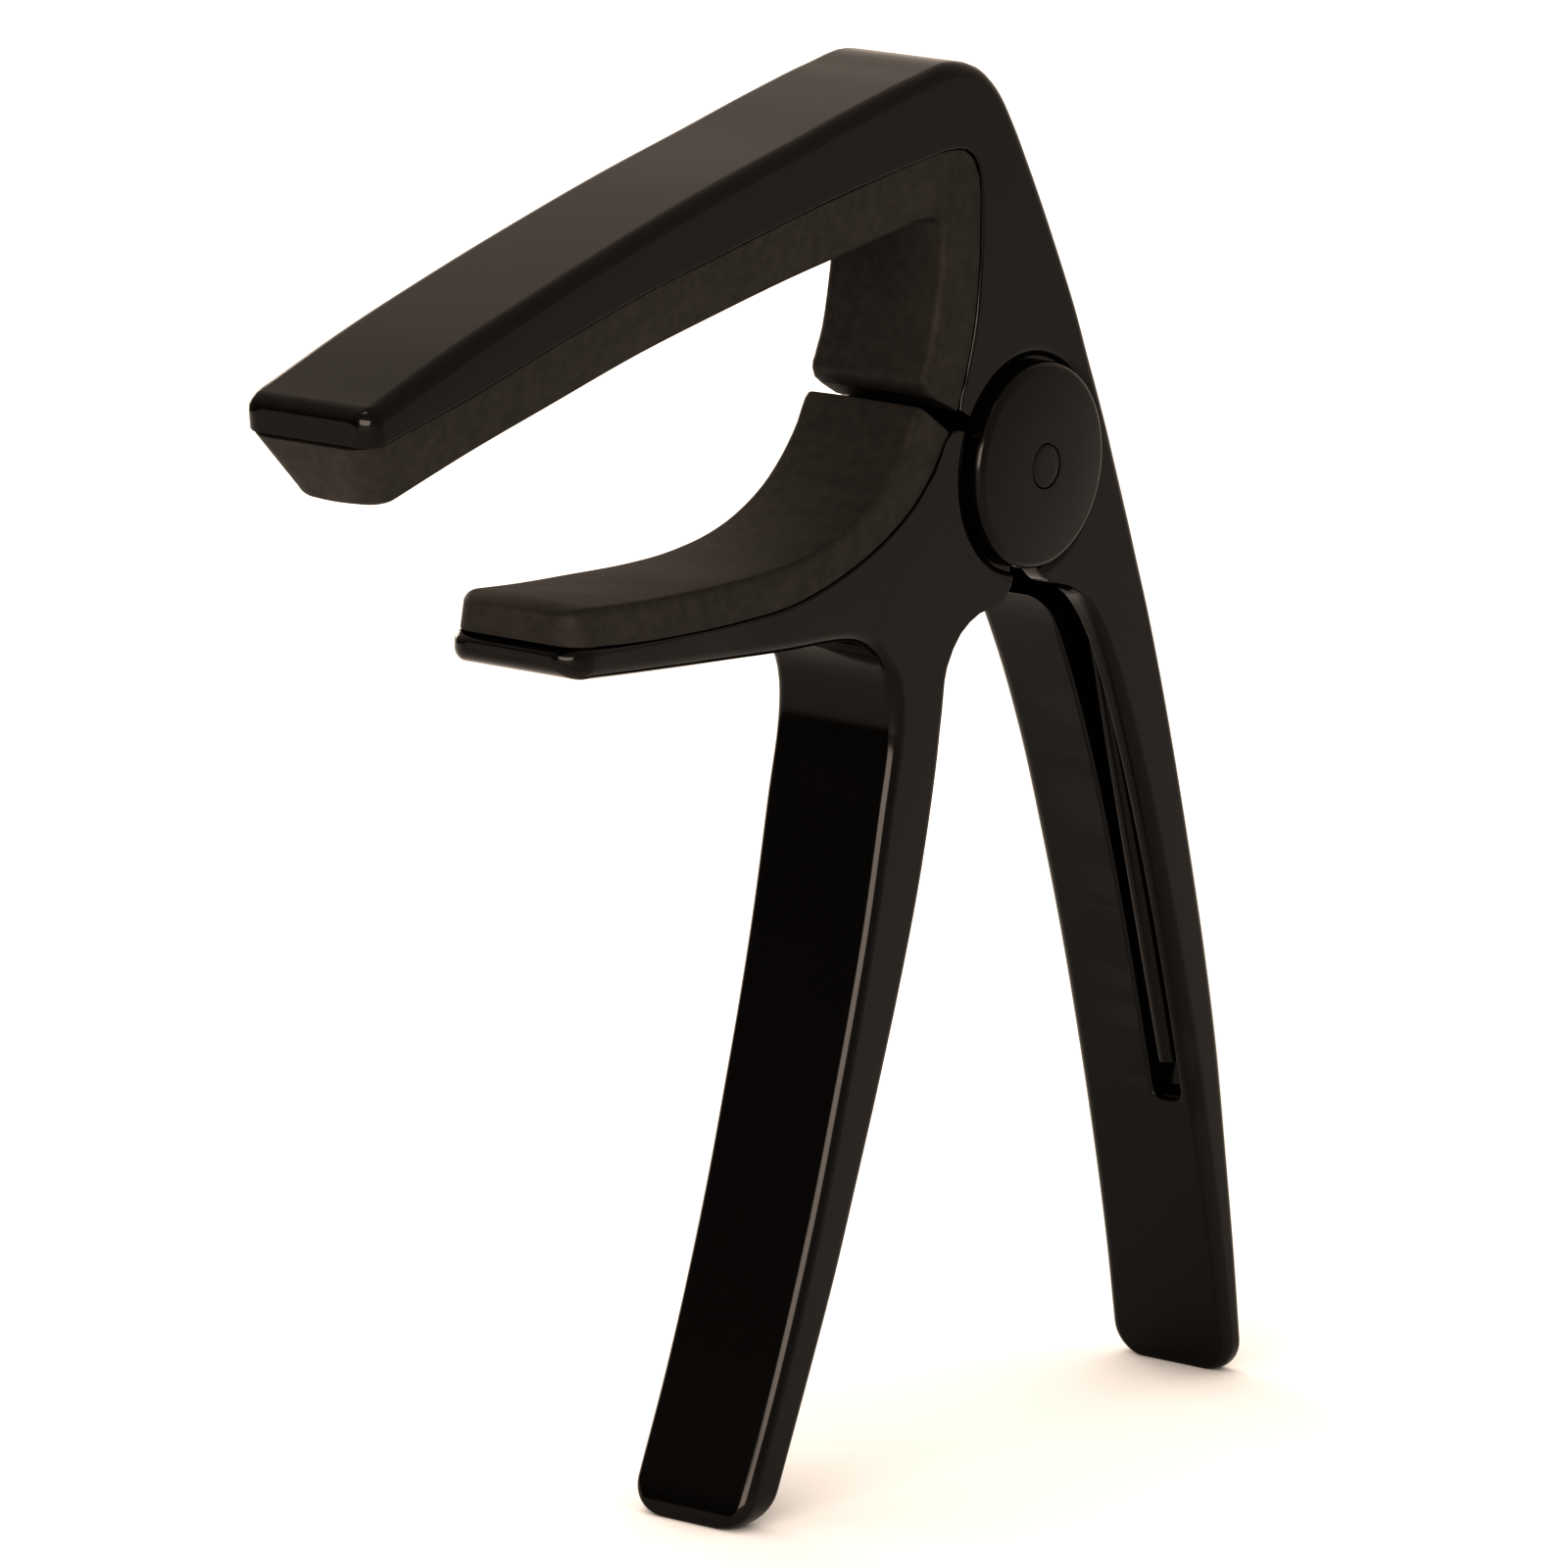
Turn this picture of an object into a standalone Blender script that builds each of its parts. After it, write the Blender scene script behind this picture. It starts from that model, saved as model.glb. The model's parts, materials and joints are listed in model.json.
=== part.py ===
"""Spring clamp capo for a guitar, standing on the ends of its two handles.

The capo lies in the XZ plane. Its hinge axis runs along Y, the jaws open towards -X, and the two
feet stand on z = 0. Shapes are laid out in millimetres round the hinge axis. Where a mesh is made
they become metres, with the axis PIVOT_HEIGHT above the floor and PIVOT_OFFSET beside the origin,
which lies under the middle of the whole.
"""

import math

import bmesh
import bpy
import numpy as np
from mathutils import Vector

MM = 0.001
PIVOT_HEIGHT = 78.9     # hinge axis above the feet
PIVOT_OFFSET = 24.2     # hinge axis beside the origin, along X

# Layers across the hinge, along Y. The near side is -Y.
FACE = 6.0              # side faces of the castings
PAST_FACE = 9.0         # where a cutter ends that goes right through
CHEEK_INNER = 4.15      # inner faces of the frame's two cheeks
COUNTERBORE_FLOOR = 5.4
LUG_NEAR = 1.7          # the lever's hinge lug
LUG_FAR = 3.4
GAP = 0.2               # play between stacked pieces
SLAB_PLAY = 0.05        # the lever's slab stands this much inside its lug's faces
WASHER_THICKNESS = 0.4

# Radii round the hinge axis.
PIN_RADIUS = 1.8
BORE_RADIUS = 2.05
SLEEVE_RADIUS = 4.7
WASHER_RADIUS = 6.9
LUG_RADIUS = 7.0
CAVITY_RADIUS = 7.7
LEVER_RELIEF_RADIUS = 7.9
CAP_RADIUS = 8.1
FRAME_SEAT_RADIUS = 8.4
LEVER_SEAT_RADIUS = 8.5
COUNTERBORE_RIM = 0.5   # rounding of the counterbore's edge

CAP_RIM = 7.2           # outer face of a cap at its edge
CAP_CROWN = 0.3         # how much higher the cap is in the middle
CAP_EDGE = 0.5
CAP_THICKNESS = 1.6
PIN_END = 7.45
PIN_CHAMFER = 0.15

# Torsion spring.
WIRE_RADIUS = 0.9
COIL_RADIUS = 6.4       # axis of the wire
REAR_LEG_Y = -3.0
FRONT_LEG_Y = 0.0
REAR_LEG_BEND = (13.35, -16.0)
REAR_LEG_END = (24.4, -52.0)
FRONT_LEG_END = (-19.7, -47.0)
SLOT_WIDTH = 2.7
SLOT_FLOOR_PLAY = 0.35
LEG_BEND_REACH = 4.0    # how far the rear leg's bend runs on each side of its corner
COIL_STEPS = 40

STATION_STEP = 4.0      # longest stretch between two rings of a lofted body
CORNER_STEPS = 3        # facets on each rounded edge
END_STEPS = 4           # rings on each rounded end
ROUND_SEGMENTS = 52

# A lofted body is a strip between two edge lines. Each row is one station:
# outer x, outer z, inner x, inner z, outer half width, inner half width, outer edge radius, inner edge radius.
FRAME_STATIONS = [
    (-78.95, 14.95, -78.6, 12.1, 6.2, 6.2, 1.3, 0.35),
    (-70.0, 18.0, -69.0, 14.2, 6.15, 6.15, 1.3, 0.35),
    (-60.0, 20.95, -58.8, 16.85, 6.1, 6.1, 1.2, 0.35),
    (-50.0, 23.7, -48.6, 19.3, 6.05, 6.05, 1.2, 0.35),
    (-40.0, 26.25, -38.5, 21.25, 6.0, 6.0, 1.2, 0.35),
    (-30.0, 28.5, -28.8, 23.15, 6.0, 6.0, 1.2, 0.35),
    (-21.0, 30.55, -20.5, 24.55, 6.0, 6.0, 1.2, 0.35),
    (-14.5, 31.85, -14.5, 25.4, 6.0, 6.0, 1.2, 0.35),
    (-10.0, 32.45, -11.0, 25.8, 6.0, 6.0, 1.2, 0.35),
    (-7.1, 31.75, -9.1, 25.6, 6.0, 6.0, 1.2, 0.35),
    (-4.6, 29.9, -7.8, 24.75, 6.0, 6.0, 1.2, 0.35),
    (-2.7, 27.4, -7.15, 23.4, 6.0, 6.0, 1.2, 0.35),
    (-0.55, 23.9, -6.9, 20.5, 6.0, 6.0, 1.2, 0.35),
    (3.65, 16.3, -7.0, 15.3, 6.0, 6.0, 1.2, 0.35),
    (6.4, 10.9, -7.6, 10.9, 6.0, 6.0, 1.2, 0.35),
    (7.95, 7.4, -8.6, 7.5, 6.0, 6.0, 1.2, 0.35),
    (9.05, 5.0, -9.2, 5.4, 6.0, 6.0, 1.2, 0.35),
    (9.62, 3.7, -8.35, 4.85, 6.0, 6.0, 1.2, 0.35),
    (10.18, 2.4, -7.0, 4.4, 6.0, 6.0, 1.2, 0.3),
    (10.74, 1.1, -7.0, 2.95, 6.0, 6.0, 1.2, 0.3),
    (11.3, -0.25, -7.6, 0.0, 6.0, 6.0, 1.2, 0.3),
    (11.99, -1.9, -6.58, -3.8, 6.0, 6.0, 1.2, 0.3),
    (12.77, -3.8, -3.8, -6.58, 6.0, 6.0, 1.2, 0.3),
    (13.53, -5.7, -0.95, -7.55, 6.0, 6.0, 1.2, 0.3),
    (14.0, -6.9, 0.6, -7.65, 6.0, 6.0, 1.2, 0.4),
    (14.54, -8.3, 1.6, -8.75, 6.0, 6.0, 1.2, 0.5),
    (15.0, -9.5, 2.9, -9.75, 6.0, 6.0, 1.2, 0.7),
    (15.76, -11.5, 4.9, -10.3, 6.0, 6.0, 1.2, 0.8),
    (16.57, -13.7, 7.3, -11.5, 6.0, 6.0, 1.2, 0.9),
    (17.32, -15.8, 9.1, -13.5, 6.0, 6.0, 1.2, 1.0),
    (18.4, -18.9, 11.1, -17.0, 6.0, 6.0, 1.2, 1.1),
    (20.7, -25.8, 14.52, -24.6, 5.95, 5.95, 1.2, 1.2),
    (23.4, -34.9, 18.07, -34.2, 5.95, 5.95, 1.2, 1.2),
    (25.7, -43.0, 20.87, -42.8, 5.9, 5.9, 1.2, 1.2),
    (27.6, -51.0, 23.29, -51.0, 5.9, 5.9, 1.2, 1.2),
    (29.35, -60.5, 25.85, -60.5, 5.85, 5.85, 1.1, 1.1),
    (30.75, -69.0, 27.93, -69.0, 5.85, 5.85, 1.0, 1.0),
    (31.75, -76.2, 29.42, -76.2, 5.85, 5.85, 0.9, 0.9),
]

LEVER_STATIONS = [
    (-54.4, -6.35, -54.4, -8.9, 6.4, 6.4, 0.7, 1.2),
    (-50.0, -6.75, -49.8, -9.25, 6.3, 6.3, 0.5, 1.2),
    (-43.0, -7.1, -43.0, -9.7, 6.2, 6.2, 0.35, 1.1),
    (-36.0, -7.2, -36.4, -10.1, 6.0, 6.0, 0.35, 1.0),
    (-29.5, -6.85, -30.0, -10.45, 6.0, 6.0, 0.35, 1.0),
    (-24.6, -5.8, -25.0, -10.6, 6.0, 6.0, 0.35, 1.0),
    (-20.8, -4.55, -23.0, -10.75, 6.0, 6.0, 0.35, 1.0),
    (-17.4, -3.0, -21.6, -11.0, 6.0, 6.0, 0.35, 1.0),
    (-14.5, -1.1, -20.7, -11.3, 6.0, 6.0, 0.35, 1.0),
    (-12.3, 1.1, -20.1, -11.55, 6.0, 6.0, 0.35, 1.0),
    (-10.1, 3.9, -20.0, -11.6, 6.0, 6.0, 0.35, 1.0),
    (-8.6, 3.8, -19.8, -11.72, 6.0, 6.0, 0.35, 1.0),
    (-5.5, 1.0, -19.6, -11.84, 6.0, 6.0, 0.35, 1.0),
    (-3.0, -3.2, -19.4, -11.96, 6.0, 6.0, 0.35, 1.0),
    (-1.8, -7.2, -19.2, -12.08, 6.0, 6.0, 0.4, 1.0),
    (-1.85, -9.3, -19.05, -12.2, 6.0, 6.0, 0.6, 1.0),
    (-3.0, -10.3, -18.85, -12.35, 6.0, 6.0, 0.7, 1.0),
    (-5.6, -10.75, -18.3, -12.9, 6.0, 6.0, 0.8, 1.0),
    (-8.1, -12.0, -17.3, -14.25, 6.0, 6.0, 0.8, 1.1),
    (-9.75, -14.4, -16.7, -16.3, 6.0, 6.0, 0.9, 1.1),
    (-10.25, -17.8, -16.7, -19.2, 6.0, 6.0, 1.0, 1.1),
    (-10.85, -22.5, -17.75, -24.8, 6.0, 6.0, 1.2, 1.1),
    (-12.6, -30.9, -19.4, -33.3, 5.95, 5.95, 1.2, 1.1),
    (-14.7, -38.5, -21.0, -40.0, 5.9, 5.9, 1.2, 1.1),
    (-17.1, -46.0, -22.9, -47.0, 5.85, 5.85, 1.2, 1.1),
    (-19.6, -53.2, -24.9, -54.0, 5.8, 5.8, 1.2, 1.1),
    (-22.2, -60.5, -27.2, -61.0, 5.75, 5.75, 1.2, 1.1),
    (-25.3, -67.9, -29.85, -68.2, 5.7, 5.7, 1.1, 1.1),
    (-28.9, -76.2, -33.25, -76.2, 5.65, 5.65, 1.0, 1.1),
]

# The pads' outer edge lines run just off the castings' seams.
STRING_PAD_STATIONS = [
    (-78.3, 11.9, -74.9, 7.2, 6.05, 4.3, 0.3, 0.8),
    (-69.0, 13.95, -67.0, 9.65, 6.0, 4.8, 0.3, 0.8),
    (-58.8, 16.6, -57.5, 12.0, 5.95, 4.9, 0.3, 0.8),
    (-48.6, 19.05, -47.6, 14.35, 5.85, 4.9, 0.3, 0.8),
    (-38.5, 21.0, -38.2, 16.2, 5.85, 4.9, 0.3, 0.8),
    (-28.8, 22.9, -28.8, 17.9, 5.85, 4.9, 0.3, 0.8),
    (-20.5, 24.3, -20.5, 19.2, 5.85, 4.95, 0.3, 0.8),
    (-15.5, 25.05, -15.2, 20.05, 5.85, 5.0, 0.3, 0.8),
    (-11.1, 25.45, -12.7, 20.4, 5.85, 5.2, 0.3, 0.8),
    (-9.4, 25.2, -11.7, 20.35, 5.85, 5.45, 0.3, 0.8),
    (-8.1, 24.45, -11.2, 19.85, 5.85, 5.6, 0.3, 0.8),
    (-7.45, 23.3, -11.1, 18.8, 5.85, 5.65, 0.3, 0.8),
    (-7.2, 20.5, -11.1, 17.4, 5.85, 5.65, 0.3, 0.8),
    (-7.3, 15.3, -11.5, 14.5, 5.85, 5.65, 0.3, 0.8),
    (-7.9, 10.9, -12.25, 10.9, 5.85, 5.65, 0.3, 0.8),
    (-8.8, 7.7, -13.1, 8.9, 5.85, 5.65, 0.3, 0.8),
    (-9.35, 6.1, -13.35, 8.0, 5.85, 5.65, 0.3, 0.8),
    (-9.5, 5.65, -13.05, 7.3, 5.85, 5.65, 0.3, 0.8),
    (-9.55, 5.4, -12.2, 6.75, 5.85, 5.65, 0.3, 0.8),
]

NECK_PAD_STATIONS = [
    (-53.8, -6.12, -53.8, -3.5, 6.3, 6.05, 0.3, 0.8),
    (-50.0, -6.48, -50.0, -3.75, 6.2, 5.95, 0.3, 0.7),
    (-43.0, -6.83, -43.0, -4.0, 6.1, 5.85, 0.3, 0.6),
    (-36.0, -6.93, -36.0, -4.1, 5.85, 5.6, 0.3, 0.6),
    (-29.6, -6.58, -30.3, -3.85, 5.85, 5.6, 0.3, 0.6),
    (-24.75, -5.55, -25.9, -3.15, 5.85, 5.6, 0.3, 0.6),
    (-21.0, -4.3, -22.6, -2.1, 5.85, 5.6, 0.3, 0.6),
    (-17.6, -2.8, -19.4, -0.4, 5.85, 5.6, 0.3, 0.6),
    (-14.75, -0.95, -16.9, 1.75, 5.85, 5.6, 0.3, 0.6),
    (-12.55, 1.2, -15.05, 4.05, 5.85, 5.6, 0.3, 0.6),
    (-11.2, 3.3, -14.15, 5.75, 5.85, 5.6, 0.3, 0.6),
    (-10.8, 4.05, -13.75, 6.1, 5.85, 5.6, 0.3, 0.6),
]

# Rounded ends: how far the end runs on past its last station (x, z), then how much it
# narrows at its sides, at its outer edge line and at its inner edge line.
ARM_TIP = ((-1.55, -0.3), 1.7, 1.0, 0.1)
REAR_FOOT = ((0.4, -2.7), 2.5, 0.6, 0.4)
CRADLE_TIP = ((-2.3, 0.0), 2.4, 0.6, 1.4)
FRONT_FOOT = ((-1.1, -2.7), 2.5, 1.0, 1.0)
STRING_PAD_TIP = ((-1.85, -0.5), 2.4, 0.1, 0.5)
STRING_PAD_END = ((0.0, -0.05), 0.3, 0.1, 0.3)
NECK_PAD_TIP = ((-2.3, 0.0), 2.3, 0.1, 0.8)
NECK_PAD_END = ((0.1, 0.15), 0.3, 0.05, 0.3)

# Pocket between the cheeks, below the hinge, in which the lever's heel swings.
POCKET = [(-1.0, -4.0), (8.4, -2.5), (10.6, -8.0), (10.7, -10.4), (9.6, -11.8), (5.0, -13.4), (-3.0, -12.0)]
# Top of the two spring channels, inside the hinge's pocket, and their lower ends.
REAR_SLOT_TOP = [(2.0, -12.0), (1.0, 1.0)]
FRONT_SLOT_TOP = [(2.0, -13.0), (1.0, 1.0)]
REAR_SLOT_END = [(26.1, -54.3), (24.6, -55.6), (19.0, -55.6)]
FRONT_SLOT_END = [(-21.3, -49.0), (-19.5, -50.0), (-14.0, -50.0)]

PAINT = ("satin_black_paint", (0.018, 0.017, 0.016), 0.35, 0.0)
RUBBER = ("black_rubber", (0.03, 0.029, 0.028), 0.8, 0.0)
STEEL = ("spring_steel", (0.35, 0.34, 0.33), 0.35, 1.0)
BLACK_STEEL = ("black_steel", (0.02, 0.02, 0.02), 0.3, 0.6)
NYLON = ("white_nylon", (0.75, 0.74, 0.7), 0.5, 0.0)


def clear_scene():
    for old in list(bpy.data.objects):
        bpy.data.objects.remove(old, do_unlink=True)


def place(x, y, z):
    """A point laid out round the hinge axis, in metres above the floor."""
    return ((x + PIVOT_OFFSET) * MM, y * MM, (z + PIVOT_HEIGHT) * MM)


def material(spec):
    name, colour, roughness, metallic = spec
    if name in bpy.data.materials:
        return bpy.data.materials[name]
    made = bpy.data.materials.new(name)
    made.use_nodes = True
    shader = made.node_tree.nodes["Principled BSDF"]
    shader.inputs["Base Color"].default_value = (*colour, 1.0)
    shader.inputs["Roughness"].default_value = roughness
    shader.inputs["Metallic"].default_value = metallic
    return made


def mesh_object(name, bm, spec):
    """An object from a bmesh, with its origin on the hinge axis and smooth shading."""
    bmesh.ops.recalc_face_normals(bm, faces=bm.faces)
    bmesh.ops.translate(bm, verts=bm.verts, vec=-Vector(place(0.0, 0.0, 0.0)))
    mesh = bpy.data.meshes.new(name)
    bm.to_mesh(mesh)
    bm.free()
    mesh.shade_smooth()
    mesh.set_sharp_from_angle(angle=math.radians(35.0))
    mesh.materials.append(material(spec))
    made = bpy.data.objects.new(name, mesh)
    made.location = place(0.0, 0.0, 0.0)
    bpy.context.collection.objects.link(made)
    return made


# Lofted bodies -------------------------------------------------------------------------------

def smooth_stations(stations):
    """Run a smooth curve through the stations and read it at short steps."""
    rows = np.array(stations, dtype=float)
    moves = np.hypot(np.diff(rows[:, 0]), np.diff(rows[:, 1]))
    moves = np.maximum(moves, np.hypot(np.diff(rows[:, 2]), np.diff(rows[:, 3])))
    slopes = np.diff(rows, axis=0) / moves[:, None]
    tangents = np.empty_like(rows)
    tangents[0] = slopes[0]
    tangents[-1] = slopes[-1]
    before = moves[:-1, None]
    after = moves[1:, None]
    tangents[1:-1] = (slopes[:-1] * after + slopes[1:] * before) / (before + after)
    smooth = []
    for i, length in enumerate(moves):
        count = math.ceil(length / STATION_STEP)
        for k in range(count):
            t = k / count
            start = (1 + 2 * t) * (1 - t) ** 2 * rows[i] + t * (1 - t) ** 2 * length * tangents[i]
            end = t * t * (3 - 2 * t) * rows[i + 1] + t * t * (t - 1) * length * tangents[i + 1]
            smooth.append(start + end)
    smooth.append(rows[-1])
    return smooth


def rounded_end(station, end):
    """Rings that carry a body on past its last station and draw it in, like a quarter round."""
    (run_x, run_z), side, outer_edge, inner_edge = end
    across = np.array([station[2] - station[0], station[3] - station[1]])
    across = across / np.linalg.norm(across)
    rings = []
    for k in range(1, END_STEPS + 1):
        turn = math.pi / 2 * k / END_STEPS
        run = math.sin(turn)
        drawn_in = 1 - math.cos(turn)
        ring = np.array(station, dtype=float)
        ring[0:2] += np.array([run_x, run_z]) * run + across * outer_edge * drawn_in
        ring[2:4] += np.array([run_x, run_z]) * run - across * inner_edge * drawn_in
        ring[4:6] -= side * drawn_in
        rings.append(ring)
    return rings


def ring_points(station):
    """A rounded cross-section between a station's outer and inner points."""
    outer = np.array(station[0:2])
    inner = np.array(station[2:4])
    span = np.linalg.norm(inner - outer)
    across = (inner - outer) / span
    middle = (outer + inner) / 2
    corners = [(1, 1, station[5], station[7]), (-1, 1, station[4], station[6]),
               (-1, -1, station[4], station[6]), (1, -1, station[5], station[7])]
    points = []
    for number, (along, sideways, half_width, radius) in enumerate(corners):
        radius = min(radius, 0.45 * span, 0.9 * half_width)
        for k in range(CORNER_STEPS + 1):
            turn = math.pi / 2 * (number + k / CORNER_STEPS)
            reach = along * (span / 2 - radius) + radius * math.cos(turn)
            y = sideways * (half_width - radius) + radius * math.sin(turn)
            x, z = middle + across * reach
            points.append(place(x, y, z))
    return points


def loft(name, stations, start_end, last_end, spec):
    rows = smooth_stations(stations)
    first = rounded_end(rows[0], start_end)[::-1]
    last = rounded_end(rows[-1], last_end)
    bm = bmesh.new()
    rings = [[bm.verts.new(point) for point in ring_points(row)] for row in first + rows + last]
    for ring, following in zip(rings, rings[1:]):
        for k in range(len(ring)):
            after = (k + 1) % len(ring)
            bm.faces.new((ring[k], ring[after], following[after], following[k]))
    bm.faces.new(rings[0])
    bm.faces.new(rings[-1][::-1])
    return mesh_object(name, bm, spec)


# Turned and cut shapes -----------------------------------------------------------------------

def turned(name, profile, spec, closed_ring=False):
    """Turn a profile of (radius, y) points round the hinge axis."""
    bm = bmesh.new()
    rings = []
    for radius, y in profile:
        turns = [2 * math.pi * k / ROUND_SEGMENTS for k in range(ROUND_SEGMENTS)]
        rings.append([bm.verts.new(place(radius * math.cos(a), y, radius * math.sin(a))) for a in turns])
    pairs = list(zip(rings, rings[1:]))
    if closed_ring:
        pairs.append((rings[-1], rings[0]))
    else:
        bm.faces.new(rings[0])
        bm.faces.new(rings[-1])
    for ring, following in pairs:
        for k in range(ROUND_SEGMENTS):
            after = (k + 1) % ROUND_SEGMENTS
            bm.faces.new((ring[k], ring[after], following[after], following[k]))
    return mesh_object(name, bm, spec)


def prism(name, outline, y_low, y_high):
    """A plate cut to an outline of (x, z) points."""
    bm = bmesh.new()
    low = [bm.verts.new(place(x, y_low, z)) for x, z in outline]
    high = [bm.verts.new(place(x, y_high, z)) for x, z in outline]
    bm.faces.new(low)
    bm.faces.new(high)
    for k in range(len(outline)):
        after = (k + 1) % len(outline)
        bm.faces.new((low[k], low[after], high[after], high[k]))
    return mesh_object(name, bm, PAINT)


def cylinder(name, radius, y_low, y_high):
    return turned(name, [(radius, y_low), (radius, y_high)], PAINT)


def combine(body, tool, operation):
    """Add a Boolean to a body and keep its tool as a hidden guide."""
    step = body.modifiers.new(tool.name, "BOOLEAN")
    step.operation = operation
    step.solver = "EXACT"
    step.object = tool
    tool.hide_render = True
    tool.display_type = "WIRE"


def cut(body, tool):
    combine(body, tool, "DIFFERENCE")


def counterbore(name, seat_radius, side):
    """Seat of a cap, with a rounded rim that runs out past the casting's face."""
    profile = [(seat_radius, side * COUNTERBORE_FLOOR), (seat_radius, side * (FACE - COUNTERBORE_RIM))]
    for k in range(1, CORNER_STEPS + 1):
        turn = math.pi / 2 * k / CORNER_STEPS
        radius = seat_radius + COUNTERBORE_RIM * (1 - math.cos(turn))
        profile.append((radius, side * (FACE - COUNTERBORE_RIM + COUNTERBORE_RIM * math.sin(turn))))
    profile.append((seat_radius + COUNTERBORE_RIM, side * PAST_FACE))
    return turned(name, profile, PAINT)


# Spring --------------------------------------------------------------------------------------

def tangent_angle(point, side):
    """Where a straight leg to the point leaves the coil; side is 1 for +X and -1 for -X."""
    distance = math.hypot(*point)
    return math.atan2(point[1], point[0]) + side * math.acos(COIL_RADIUS / distance)


def coil_turns():
    """Angles at which the rear leg joins the coil and the front leg leaves it."""
    start = tangent_angle(REAR_LEG_BEND, 1)
    end = tangent_angle(FRONT_LEG_END, -1)
    while end < start + 2 * math.pi:
        end += 2 * math.pi
    return start, end


def coil_point(angle):
    return COIL_RADIUS * np.array([math.cos(angle), math.sin(angle)])


def spring_path():
    start, end = coil_turns()
    leg_steps = 10
    bend = np.array(REAR_LEG_BEND)
    root = coil_point(start)
    tip = np.array(REAR_LEG_END)
    before = bend + (root - bend) / np.linalg.norm(root - bend) * LEG_BEND_REACH
    after = bend + (tip - bend) / np.linalg.norm(tip - bend) * LEG_BEND_REACH
    path = [(*tip, REAR_LEG_Y)]
    for k in range(leg_steps):
        t = k / (leg_steps - 1)
        point = (1 - t) ** 2 * after + 2 * t * (1 - t) * bend + t * t * before
        path.append((*point, REAR_LEG_Y))
    for k in range(COIL_STEPS + 1):
        t = k / COIL_STEPS
        y = REAR_LEG_Y + (FRONT_LEG_Y - REAR_LEG_Y) * t
        path.append((*coil_point(start + (end - start) * t), y))
    path.append((*FRONT_LEG_END, FRONT_LEG_Y))
    return path


def make_torsion_spring():
    curve = bpy.data.curves.new("torsion_spring", "CURVE")
    curve.dimensions = "3D"
    curve.bevel_depth = WIRE_RADIUS * MM
    curve.bevel_resolution = 3
    curve.use_fill_caps = True
    spline = curve.splines.new("POLY")
    path = spring_path()
    spline.points.add(len(path) - 1)
    for point, (x, z, y) in zip(spline.points, path):
        point.co = (x * MM, y * MM, z * MM, 1.0)
    curve.materials.append(material(BLACK_STEEL))
    made = bpy.data.objects.new("torsion_spring", curve)
    made.location = place(0.0, 0.0, 0.0)
    bpy.context.collection.objects.link(made)
    return made


def channel_outline(points, side, slot_end, mouth_top):
    """Outline of a spring channel: its floor follows the leg on the side away from the jaws' gap."""
    play = WIRE_RADIUS + SLOT_FLOOR_PLAY
    floor = []
    for point, following in zip(points, points[1:]):
        run = np.array(following) - np.array(point)
        run = run / np.linalg.norm(run)
        outward = side * np.array([-run[1], run[0]])
        floor.append(tuple(np.array(point) + outward * play))
        floor.append(tuple(np.array(following) + outward * play))
    return mouth_top + floor + slot_end


# Pieces --------------------------------------------------------------------------------------

def make_rear_frame():
    frame = loft("rear_frame", FRAME_STATIONS, ARM_TIP, REAR_FOOT, PAINT)
    cut(frame, cylinder("cut_frame_cavity", CAVITY_RADIUS, -CHEEK_INNER, CHEEK_INNER))
    cut(frame, prism("cut_frame_pocket", POCKET, -CHEEK_INNER + 0.02, CHEEK_INNER - 0.02))
    start, _ = coil_turns()
    legs = [coil_point(start), REAR_LEG_BEND, REAR_LEG_END]
    outline = channel_outline(legs, 1, REAR_SLOT_END, REAR_SLOT_TOP)
    slot_near = -CHEEK_INNER + 0.04
    cut(frame, prism("cut_frame_slot", outline, slot_near, slot_near + SLOT_WIDTH))
    cut(frame, cylinder("cut_frame_bore", BORE_RADIUS, -PAST_FACE, PAST_FACE))
    cut(frame, counterbore("cut_frame_seat_near", FRAME_SEAT_RADIUS, -1))
    cut(frame, counterbore("cut_frame_seat_far", FRAME_SEAT_RADIUS, 1))
    return frame


def make_front_lever():
    lever = loft("front_lever", LEVER_STATIONS, CRADLE_TIP, FRONT_FOOT, PAINT)
    cut(lever, cylinder("cut_lever_near", LEVER_RELIEF_RADIUS, -PAST_FACE, LUG_NEAR + SLAB_PLAY))
    cut(lever, cylinder("cut_lever_far", LEVER_RELIEF_RADIUS, LUG_FAR - SLAB_PLAY, PAST_FACE))
    _, end = coil_turns()
    outline = channel_outline([coil_point(end), FRONT_LEG_END], -1, FRONT_SLOT_END, FRONT_SLOT_TOP)
    cut(lever, prism("cut_lever_slot", outline, FRONT_LEG_Y - SLOT_WIDTH / 2, FRONT_LEG_Y + SLOT_WIDTH / 2))
    combine(lever, cylinder("add_lever_lug", LUG_RADIUS, LUG_NEAR, LUG_FAR), "UNION")
    cut(lever, cylinder("cut_lever_bore", BORE_RADIUS, -PAST_FACE, PAST_FACE))
    cut(lever, counterbore("cut_lever_seat_near", LEVER_SEAT_RADIUS, -1))
    cut(lever, counterbore("cut_lever_seat_far", LEVER_SEAT_RADIUS, 1))
    return lever


def make_pads():
    loft("string_pad", STRING_PAD_STATIONS, STRING_PAD_TIP, STRING_PAD_END, RUBBER)
    loft("neck_pad", NECK_PAD_STATIONS, NECK_PAD_TIP, NECK_PAD_END, RUBBER)


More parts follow.
